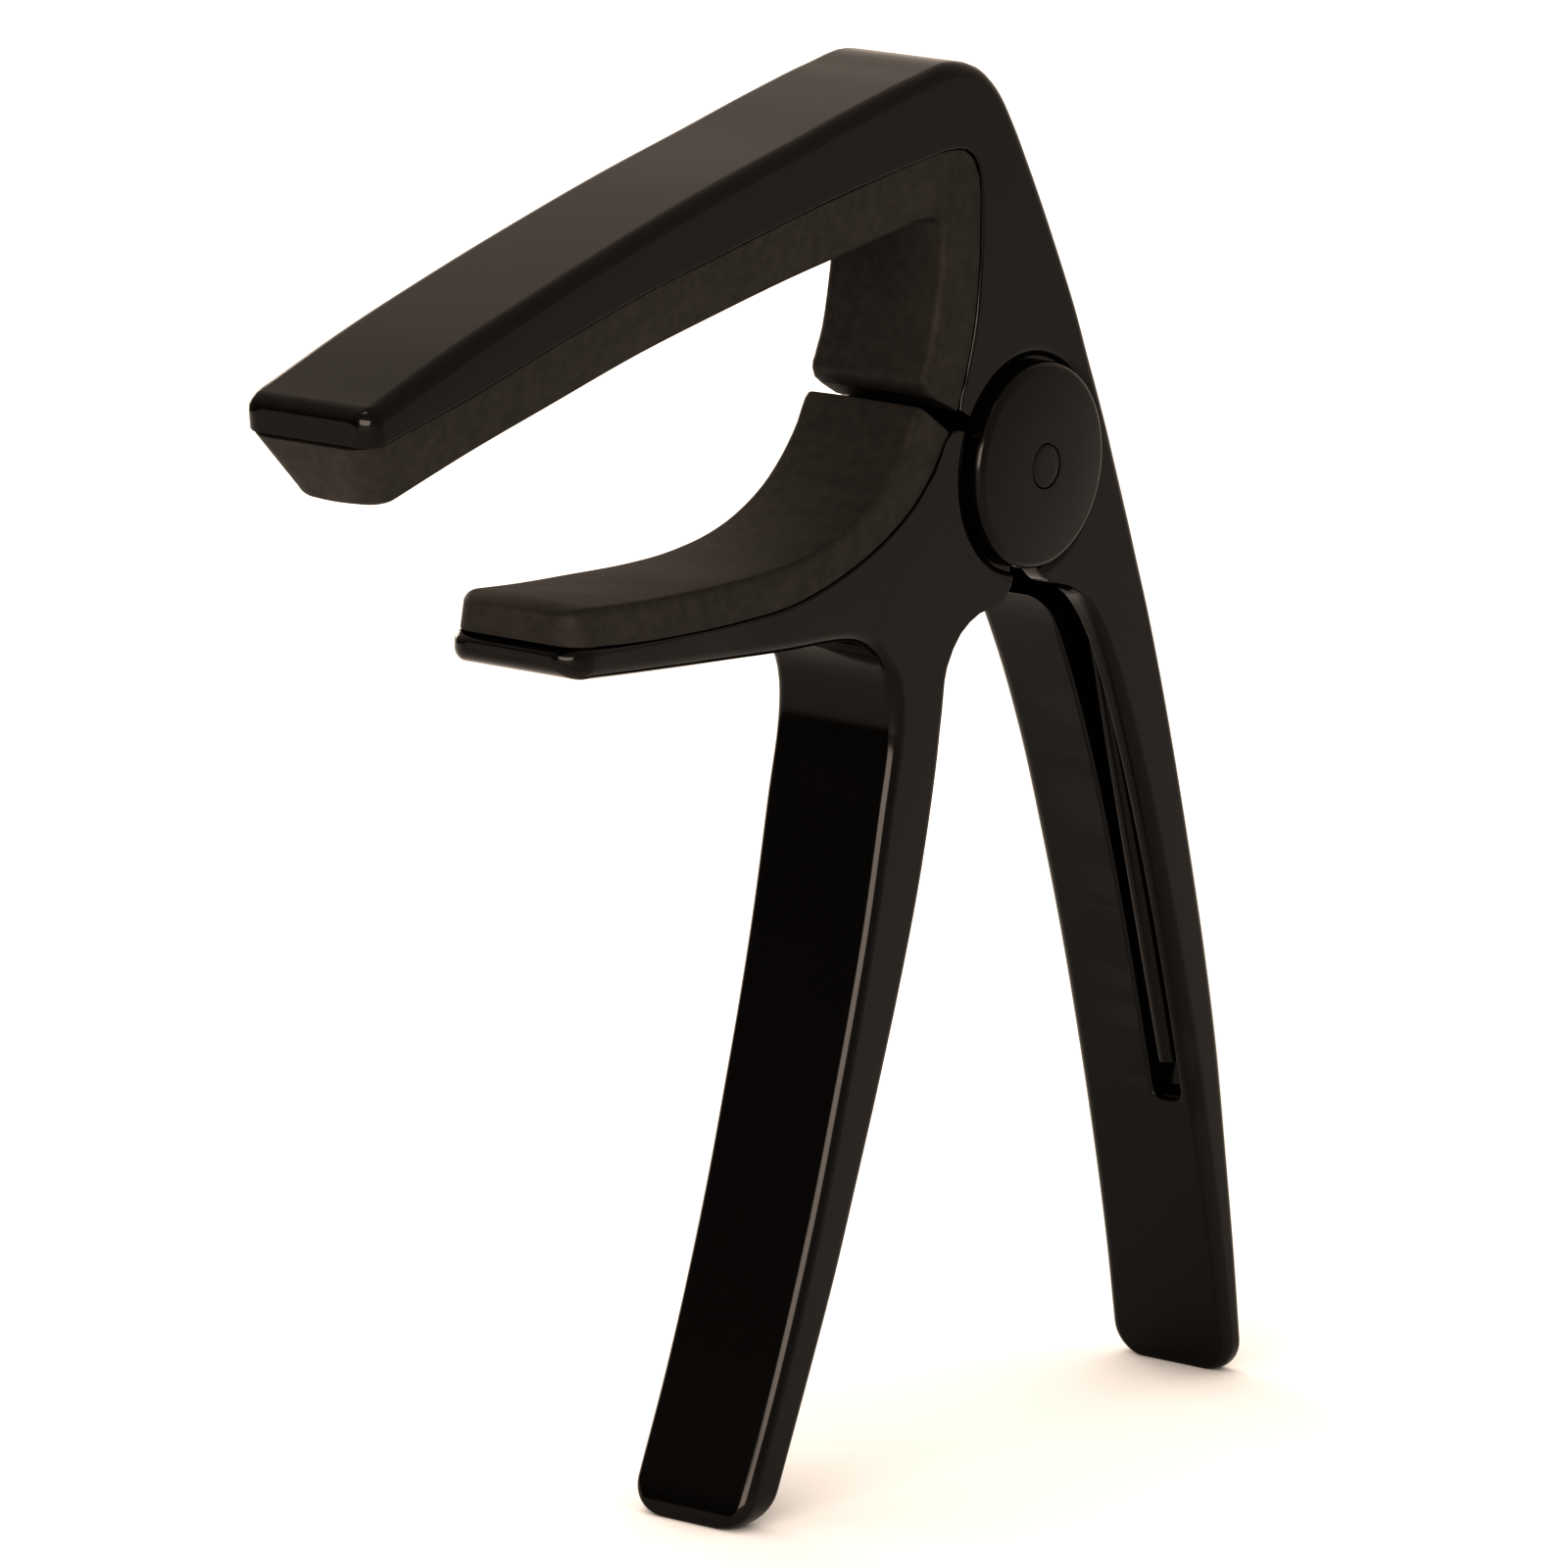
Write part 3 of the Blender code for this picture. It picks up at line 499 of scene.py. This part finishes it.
def rings_object(name, rings, finish, closed=False):
    """An object skinned over rings of (x, y, z) points."""
    bm = bmesh.new()
    skin(bm, [[bm.verts.new(at(*point)) for point in ring] for ring in rings], closed)
    return mesh_object(name, bm, finish)


def smooth_stations(stations):
    """Run a smooth curve through the stations and read it at short steps."""
    rows = np.array(stations, dtype=float)
    moves = np.hypot(np.diff(rows[:, 0]), np.diff(rows[:, 1]))
    moves = np.maximum(moves, np.hypot(np.diff(rows[:, 2]), np.diff(rows[:, 3])))
    slopes = np.diff(rows, axis=0) / moves[:, None]
    tangents = np.empty_like(rows)
    tangents[0] = slopes[0]
    tangents[-1] = slopes[-1]
    before = moves[:-1, None]
    after = moves[1:, None]
    tangents[1:-1] = (slopes[:-1] * after + slopes[1:] * before) / (before + after)
    smooth = []
    for i, length in enumerate(moves):
        count = math.ceil(length / STATION_STEP)
        for k in range(count):
            t = k / count
            start = (1 + 2 * t) * (1 - t) ** 2 * rows[i] + t * (1 - t) ** 2 * length * tangents[i]
            end = t * t * (3 - 2 * t) * rows[i + 1] + t * t * (t - 1) * length * tangents[i + 1]
            smooth.append(start + end)
    smooth.append(rows[-1])
    return smooth


def rounded_end(station, end):
    """Rings that carry a body on past its last station and draw it in, like a quarter round."""
    (run_x, run_z), side, outer_edge, inner_edge = end
    across = np.array([station[2] - station[0], station[3] - station[1]])
    across = across / np.linalg.norm(across)
    rings = []
    for k in range(1, END_STEPS + 1):
        turn = math.pi / 2 * k / END_STEPS
        run = math.sin(turn)
        drawn_in = 1 - math.cos(turn)
        ring = np.array(station, dtype=float)
        ring[0:2] += np.array([run_x, run_z]) * run + across * outer_edge * drawn_in
        ring[2:4] += np.array([run_x, run_z]) * run - across * inner_edge * drawn_in
        ring[4:6] -= side * drawn_in
        rings.append(ring)
    return rings


def ring_points(station, crown):
    """A rounded cross-section between a station's outer and inner points, its inner face crowned."""
    outer = np.array(station[0:2])
    inner = np.array(station[2:4])
    span = np.linalg.norm(inner - outer)
    across = (inner - outer) / span
    middle = (outer + inner) / 2
    corners = [(1, 1, station[5], station[7]), (-1, 1, station[4], station[6]),
               (-1, -1, station[4], station[6]), (1, -1, station[5], station[7])]
    flat = []
    for number, (along, sideways, half_width, radius) in enumerate(corners):
        radius = min(radius, MOST_OF_SPAN * span, MOST_OF_WIDTH * half_width)
        for k in range(CORNER_STEPS + 1):
            turn = math.pi / 2 * (number + k / CORNER_STEPS)
            reach = along * (span / 2 - radius) + radius * math.cos(turn)
            flat.append((reach, sideways * (half_width - radius) + radius * math.sin(turn)))
    if crown:
        # The last corner ends and the first begins on the inner face, which is given a low crown.
        start, end = flat[-1], flat[0]
        for k in range(1, FLAT_STEPS):
            t = k / FLAT_STEPS
            rise = crown * 4 * t * (1 - t)
            flat.append((start[0] + rise, start[1] + (end[1] - start[1]) * t))
    points = []
    for reach, y in flat:
        x, z = middle + across * reach
        points.append((x, y, z))
    return points


def loft(name, stations, start_end, last_end, finish, crown=0.0):
    """A body through a table of stations, with a rounded end at each end of it."""
    rows = smooth_stations(stations)
    first = rounded_end(rows[0], start_end)[::-1]
    last = rounded_end(rows[-1], last_end)
    return rings_object(name, [ring_points(row, crown) for row in first + rows + last], finish)


def turned(name, profile, finish, closed_ring=False):
    """Turn a profile of (radius, y) points round the hinge axis."""
    turns = [2 * math.pi * k / ROUND_SEGMENTS for k in range(ROUND_SEGMENTS)]
    rings = [[(radius * math.cos(a), y, radius * math.sin(a)) for a in turns] for radius, y in profile]
    return rings_object(name, rings, finish, closed_ring)


def prism(name, outline, y_low, y_high):
    """A plate cut to an outline of (x, z) points."""
    return rings_object(name, [[(x, y, z) for x, z in outline] for y in (y_low, y_high)], None)


def cylinder(name, radius, y_low, y_high):
    """A plain cylinder round the hinge axis, used to cut or to join."""
    return turned(name, [(radius, y_low), (radius, y_high)], None)


def combine(body, tools):
    """Join or cut a body with each tool in turn, bake the result, and remove the tools."""
    for tool, operation in tools:
        step = body.modifiers.new(tool.name, "BOOLEAN")
        step.operation = operation
        step.solver = "EXACT"
        step.object = tool
    bpy.context.view_layer.update()
    shaped = body.evaluated_get(bpy.context.evaluated_depsgraph_get())
    mesh = bpy.data.meshes.new_from_object(shaped)
    body.modifiers.clear()
    body.data = mesh
    mesh.shade_smooth()
    mesh.set_sharp_from_angle(angle=SHARP_ANGLE)
    for tool, _ in tools:
        bpy.data.objects.remove(tool, do_unlink=True)
    weighted = body.modifiers.new("weighted_normals", "WEIGHTED_NORMAL")
    weighted.keep_sharp = True
    weighted.weight = 80


def quarter_round(centre_a, centre_b, radius, start, steps=CORNER_STEPS):
    """Points of a quarter turn round a centre, from a start angle in quarter turns."""
    points = []
    for k in range(steps + 1):
        turn = math.pi / 2 * (start + k / steps)
        points.append((centre_a + radius * math.cos(turn), centre_b + radius * math.sin(turn)))
    return points


def counterbore(name, seat_radius, side):
    """Seat of a cap, with a rounded rim that runs out past the casting's face."""
    profile = [(seat_radius, side * COUNTERBORE_FLOOR)]
    for k in range(CORNER_STEPS + 1):
        turn = math.pi / 2 * k / CORNER_STEPS
        radius = seat_radius + SEAT_RIM_WIDTH * (1 - math.cos(turn))
        profile.append((radius, side * (FACE - SEAT_RIM_DEPTH * (1 - math.sin(turn)))))
    profile.append((seat_radius + SEAT_RIM_WIDTH, side * (FACE + SEAT_PAST_FACE)))
    return turned(name, profile, None)


# Spring --------------------------------------------------------------------------------------

def tangent_angle(point, side):
    """Where a straight leg to the point leaves the coil; side is 1 for +X and -1 for -X."""
    distance = math.hypot(*point)
    return math.atan2(point[1], point[0]) + side * math.acos(COIL_RADIUS / distance)


def coil_turns():
    """Angles at which the rear leg joins the coil and the front leg leaves it."""
    start = tangent_angle(REAR_LEG_BEND, 1)
    end = tangent_angle(FRONT_LEG_END, -1)
    while end < start + 2 * math.pi:
        end += 2 * math.pi
    return start, end


def coil_point(angle):
    """A point of the coil's middle line, as (x, z)."""
    return COIL_RADIUS * np.array([math.cos(angle), math.sin(angle)])


def spring_path():
    """Middle line of the wire: the rear leg from its end, its bend, the coil and the front leg."""
    start, end = coil_turns()
    bend = np.array(REAR_LEG_BEND)
    root = coil_point(start)
    tip = np.array(REAR_LEG_END)
    before = bend + (root - bend) / np.linalg.norm(root - bend) * LEG_BEND_REACH
    after = bend + (tip - bend) / np.linalg.norm(tip - bend) * LEG_BEND_REACH
    path = [(*(tip + (after - tip) * k / LEG_STEPS), REAR_LEG_Y) for k in range(LEG_STEPS)]
    for k in range(LEG_STEPS):
        t = k / (LEG_STEPS - 1)
        point = (1 - t) ** 2 * after + 2 * t * (1 - t) * bend + t * t * before
        path.append((*point, REAR_LEG_Y))
    for k in range(COIL_STEPS + 1):
        t = k / COIL_STEPS
        y = REAR_LEG_Y + (FRONT_LEG_Y - REAR_LEG_Y) * t
        path.append((*coil_point(start + (end - start) * t), y))
    last = np.array(FRONT_LEG_END)
    for k in range(1, LEG_STEPS + 1):
        path.append((*(coil_point(end) + (last - coil_point(end)) * k / LEG_STEPS), FRONT_LEG_Y))
    return [(x, y, z) for x, z, y in path]


def tube(name, path, radius, finish, sides=24):
    """A round wire along a path, each end closed by a smaller ring."""
    points = [Vector(point) for point in path]
    first = (points[0] - points[1]).normalized()
    last = (points[-1] - points[-2]).normalized()
    stops = [(points[0] + first * WIRE_END_ROUND, radius - WIRE_END_ROUND)]
    stops += [(point, radius) for point in points]
    stops += [(points[-1] + last * WIRE_END_ROUND, radius - WIRE_END_ROUND)]
    rings = []
    side = Vector((0.0, 1.0, 0.0))
    for i, (point, reach) in enumerate(stops):
        ahead = stops[min(i + 1, len(stops) - 1)][0]
        behind = stops[max(i - 1, 0)][0]
        along = (ahead - behind).normalized()
        side = (side - along * side.dot(along)).normalized()
        up = along.cross(side)
        turns = [2 * math.pi * k / sides for k in range(sides)]
        rings.append([tuple(point + (side * math.cos(a) + up * math.sin(a)) * reach) for a in turns])
    return rings_object(name, rings, finish)


# Castings ------------------------------------------------------------------------------------

def slot_floor(points, side, floor_end):
    """Line of a spring slot's floor, which lies behind the leg, on the side away from its mouth."""
    play = WIRE_RADIUS + SLOT_FLOOR_PLAY
    floor = []
    for point, following in zip(points, points[1:]):
        run = np.array(following) - np.array(point)
        run = run / np.linalg.norm(run)
        outward = side * np.array([-run[1], run[0]])
        floor.append(np.array(point) + outward * play)
        floor.append(np.array(following) + outward * play)
    return np.array(floor + [np.array(point) for point in floor_end])


def quarter_inset(radius, reach):
    """How far a rounded corner draws a wall sideways, at a reach from the corner's edge."""
    left = min(max(1 - reach / radius, 0.0), 1.0)
    return radius * (1 - math.sqrt(1 - left * left))


def slot_cutter(name, floor, mouth, side, y_low, top, slot_top, top_round):
    """A spring slot, cut level by level from top down: flat floor, straight walls, a rounded lip.

    The mouth's lip starts at the height slot_top, under the hinge's pocket, where the far wall's
    corner is rounded too. Side is 1 for a slot whose floor lies towards +X.
    """
    y_high = y_low + SLOT_WIDTH
    bottom = floor[-1][1]
    quarter = np.cos(np.linspace(0, math.pi / 2, END_STEPS))
    levels = np.concatenate([np.arange(top, slot_top, -STATION_STEP),
                             slot_top - top_round * (1 - quarter)[:-1],
                             np.arange(slot_top - top_round, bottom + SLOT_END_ROUND, -STATION_STEP),
                             bottom + SLOT_END_ROUND * quarter])
    floor_x = np.interp(-levels, -floor[:, 1], floor[:, 0])
    mouth_x = np.interp(-levels, -mouth[:, 1], mouth[:, 0])
    rings = []
    for z, deep, edge in zip(levels, floor_x, mouth_x):
        lip = SLOT_LIP * min(max((slot_top - z) / SLOT_LIP_RUN, SLOT_LIP_LEAST), 1.0)
        pinch = quarter_inset(SLOT_END_ROUND, z - bottom)
        low = y_low + pinch
        high = y_high - pinch + quarter_inset(top_round, slot_top - z)
        deep = side * max(side * deep, side * edge + lip + SLOT_LEAST_DEPTH)
        ring = [(deep, low), (deep, high)]
        for k in range(CORNER_STEPS + 1):
            turn = math.pi / 2 * k / CORNER_STEPS
            ring.append((edge + side * lip * (1 - math.sin(turn)), high + lip * (1 - math.cos(turn))))
        ring.append((edge - side * SLOT_PAST_MOUTH, high + lip))
        ring.append((edge - side * SLOT_PAST_MOUTH, low - lip))
        for k in range(CORNER_STEPS, -1, -1):
            turn = math.pi / 2 * k / CORNER_STEPS
            ring.append((edge + side * lip * (1 - math.sin(turn)), low - lip * (1 - math.cos(turn))))
        rings.append([(x, y, z) for x, y in ring])
    return rings_object(name, rings, None)


def edge_line(stations, columns, first):
    """A station table's outer or inner line from one station on, as points that run downwards."""
    rows = np.array(smooth_stations(stations[first:]))
    return rows[:, columns]


def make_frame_casting(finish):
    """Arm, back, hinge fork and rear handle in one casting."""
    casting = loft("frame_casting", FRAME_STATIONS, ARM_TIP, REAR_FOOT, finish)
    start, _ = coil_turns()
    legs = [coil_point(start), REAR_LEG_BEND, REAR_LEG_END]
    floor = slot_floor(legs, 1, REAR_SLOT_FLOOR_END)
    mouth = edge_line(FRAME_STATIONS, INNER, REAR_MOUTH_STATION)
    slot = slot_cutter("slot", floor, mouth, 1, REAR_SLOT_PLAY - CHEEK_INNER,
                       REAR_SLOT_START, REAR_SLOT_TOP, REAR_SLOT_TOP_ROUND)
    combine(casting, [
        (cylinder("cavity", CAVITY_RADIUS, -CHEEK_INNER, CHEEK_INNER), "DIFFERENCE"),
        (prism("pocket", POCKET, POCKET_PLAY - CHEEK_INNER, CHEEK_INNER - POCKET_PLAY), "DIFFERENCE"),
        (slot, "DIFFERENCE"),
        (cylinder("bore", BORE_RADIUS, -PAST_FACE, PAST_FACE), "DIFFERENCE"),
        (counterbore("seat_near", FRAME_SEAT_RADIUS, -1), "DIFFERENCE"),
        (counterbore("seat_far", FRAME_SEAT_RADIUS, 1), "DIFFERENCE"),
    ])
    return casting


def make_lever_casting(finish):
    """Cradle, front handle and hinge lug in one casting."""
    casting = loft("lever_casting", LEVER_STATIONS, CRADLE_TIP, FRONT_FOOT, finish)
    _, end = coil_turns()
    floor = slot_floor([coil_point(end), FRONT_LEG_END], -1, FRONT_SLOT_FLOOR_END)
    mouth = edge_line(LEVER_STATIONS, OUTER, FRONT_MOUTH_STATION)
    slot = slot_cutter("slot", floor, mouth, -1, FRONT_LEG_Y - SLOT_WIDTH / 2,
                       FRONT_SLOT_START, FRONT_SLOT_TOP, FRONT_SLOT_TOP_ROUND)
    combine(casting, [
        (cylinder("near_relief", LEVER_RELIEF_RADIUS, -PAST_FACE, LUG_NEAR + SLAB_PLAY), "DIFFERENCE"),
        (cylinder("far_relief", LEVER_RELIEF_RADIUS, LUG_FAR - SLAB_PLAY, PAST_FACE), "DIFFERENCE"),
        (slot, "DIFFERENCE"),
        (cylinder("lug", LUG_RADIUS, LUG_NEAR, LUG_FAR), "UNION"),
        (cylinder("bore", BORE_RADIUS, -PAST_FACE, PAST_FACE), "DIFFERENCE"),
        (counterbore("seat_near", LEVER_SEAT_RADIUS, -1), "DIFFERENCE"),
        (counterbore("seat_far", LEVER_SEAT_RADIUS, 1), "DIFFERENCE"),
    ])
    return casting


# Hinge ---------------------------------------------------------------------------------------

def make_cap(name, side, finish):
    """A crowned cap with a bore for the pin, turned as one closed ring."""
    inner = CAP_RIM - CAP_THICKNESS
    hole = PIN_RADIUS + PIN_PLAY
    profile = [(hole, inner), (CAP_RADIUS - CAP_CHAMFER, inner), (CAP_RADIUS, inner + CAP_CHAMFER)]
    profile += quarter_round(CAP_RADIUS - CAP_EDGE, CAP_RIM - CAP_EDGE, CAP_EDGE, 0)
    for k in range(1, CROWN_STEPS + 1):
        t = 1 - k / CROWN_STEPS
        radius = hole + CAP_CHAMFER + (CAP_RADIUS - CAP_EDGE - hole - CAP_CHAMFER) * t
        profile.append((radius, CAP_RIM + CAP_CROWN * (1 - t * t)))
    profile.append((hole, CAP_RIM + CAP_CROWN - CAP_CHAMFER))
    return turned(name, [(radius, side * y) for radius, y in profile], finish, closed_ring=True)


def make_pin(finish):
    """The hinge pin, with flat ends and a fine rounding round each."""
    edge = quarter_round(PIN_RADIUS - PIN_CHAMFER, PIN_END - PIN_CHAMFER, PIN_CHAMFER, 0, CHAMFER_STEPS)
    far = [(PIN_RADIUS / 2, PIN_END)] + edge[::-1]
    near = [(radius, -y) for radius, y in far]
    return turned("pin_detail", near + far[::-1], finish)


# Stage ---------------------------------------------------------------------------------------

def add_card(name, corners, finish):
    """A flat card or floor that isn't part of the object, from its corner points in metres."""
    mesh = bpy.data.meshes.new(name)
    mesh.from_pydata(corners, [], [tuple(range(len(corners)))])
    mesh.materials.append(finish)
    card = bpy.data.objects.new(name, mesh)
    bpy.context.collection.objects.link(card)
    return card


def direction(azimuth, elevation):
    """Unit vector from the object towards a place on the sky; azimuth runs from -Y towards +X."""
    a = math.radians(azimuth)
    e = math.radians(elevation)
    return Vector((math.sin(a) * math.cos(e), -math.cos(a) * math.cos(e), math.sin(e)))


def add_softbox(name, azimuth, elevation, distance, size, power, in_gloss):
    """A rectangular light that faces the object."""
    light = bpy.data.lights.new(name, "AREA")
    light.shape = "RECTANGLE"
    light.size, light.size_y = size
    light.energy = power
    light.color = LIGHT_TINT
    box = bpy.data.objects.new(name, light)
    box.visible_glossy = in_gloss
    towards = direction(azimuth, elevation)
    box.location = Vector(LIGHT_AIM) + towards * distance
    box.rotation_mode = "QUATERNION"
    box.rotation_quaternion = towards.to_track_quat("Z", "Y")
    bpy.context.collection.objects.link(box)


def add_camera():
    """The camera, turned towards its aim and rolled a little."""
    lens = bpy.data.cameras.new("camera")
    lens.lens = CAMERA_LENS
    lens.sensor_width = SENSOR_WIDTH
    lens.clip_start = 0.05
    lens.clip_end = 20.0
    camera = bpy.data.objects.new("camera", lens)
    back = direction(CAMERA_AZIMUTH, CAMERA_ELEVATION)
    right = Vector((0.0, 0.0, 1.0)).cross(back).normalized()
    up = back.cross(right)
    axes = Matrix((right, up, back)).transposed().to_4x4()
    roll = Matrix.Rotation(math.radians(CAMERA_ROLL), 4, "Z")
    camera.matrix_world = Matrix.Translation(at(*CAMERA_AIM) + back * CAMERA_DISTANCE * MM) @ axes @ roll
    bpy.context.collection.objects.link(camera)
    bpy.context.scene.camera = camera


def add_flag():
    """A card round part of the horizon, seen only in reflections: gloss that faces it stays dark."""
    low = Vector((0.0, 0.0, FLAG_LIFT))
    high = Vector((0.0, 0.0, math.tan(math.radians(FLAG_TOP)) * FLAG_DISTANCE))
    for i in range(FLAG_STEPS):
        a = direction(FLAG_FROM + (FLAG_TO - FLAG_FROM) * i / FLAG_STEPS, 0) * FLAG_DISTANCE
        b = direction(FLAG_FROM + (FLAG_TO - FLAG_FROM) * (i + 1) / FLAG_STEPS, 0) * FLAG_DISTANCE
        card = add_card(f"dark_flag_{i}", [a + low, b + low, b + high, a + high], dark_card())
        card.visible_camera = False
        card.visible_diffuse = False
        card.visible_shadow = False


def add_studio():
    """Pale floor, even warm sky, soft lights and the card that keeps gloss dark."""
    corners = [(-FLOOR_HALF, -FLOOR_HALF, 0), (FLOOR_HALF, -FLOOR_HALF, 0),
               (FLOOR_HALF, FLOOR_HALF, 0), (-FLOOR_HALF, FLOOR_HALF, 0)]
    add_card("floor", corners, pale_floor())
    world = bpy.data.worlds.new("studio")
    world.use_nodes = True
    sky = world.node_tree.nodes["Background"]
    sky.inputs["Color"].default_value = (*LIGHT_TINT, 1.0)
    sky.inputs["Strength"].default_value = SKY_STRENGTH
    bpy.context.scene.world = world
    bpy.context.scene.view_settings.view_transform = "Standard"
    bpy.context.scene.view_settings.look = "Very High Contrast"
    for light in LIGHTS:
        add_softbox(*light)
    add_flag()


# Build ---------------------------------------------------------------------------------------

def add_piece(piece, body, node):
    """Put a piece on its body, in the place of its CAD node."""
    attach(piece, body)
    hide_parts(node)
    return piece


def build():
    paint = black_paint()
    rubber = pad_rubber()
    dark_steel = black_steel()
    steel = bare_steel()
    nylon = white_nylon()

    add_piece(make_frame_casting(paint), "frame", "rear_frame")
    add_piece(make_lever_casting(paint), "lever", "front_lever")

    bar_pad = loft("bar_pad", BAR_PAD_STATIONS, BAR_PAD_TIP, BAR_PAD_END, rubber, PAD_CROWN)
    add_piece(bar_pad, "frame", "string_pad")
    cradle_pad = loft("cradle_pad", CRADLE_PAD_STATIONS, CRADLE_PAD_TIP, CRADLE_PAD_END, rubber, PAD_CROWN)
    add_piece(cradle_pad, "lever", "neck_pad")

    add_piece(make_cap("cap_near_detail", -1, dark_steel), "frame", "pivot_cap_near")
    add_piece(make_cap("cap_far_detail", 1, dark_steel), "frame", "pivot_cap_far")
    add_piece(make_pin(dark_steel), "frame", "pivot_pin")

    spring = tube("spring_wire", spring_path(), WIRE_RADIUS, dark_steel)
    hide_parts("torsion_spring")
    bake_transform(spring)

    finishes = {"pivot_sleeve": steel, "thrust_washer_coil": nylon, "thrust_washer_fork": nylon}
    for node, finish in finishes.items():
        frame["nodes"][node].material_slots[0].material = finish


build()
add_studio()
add_camera()
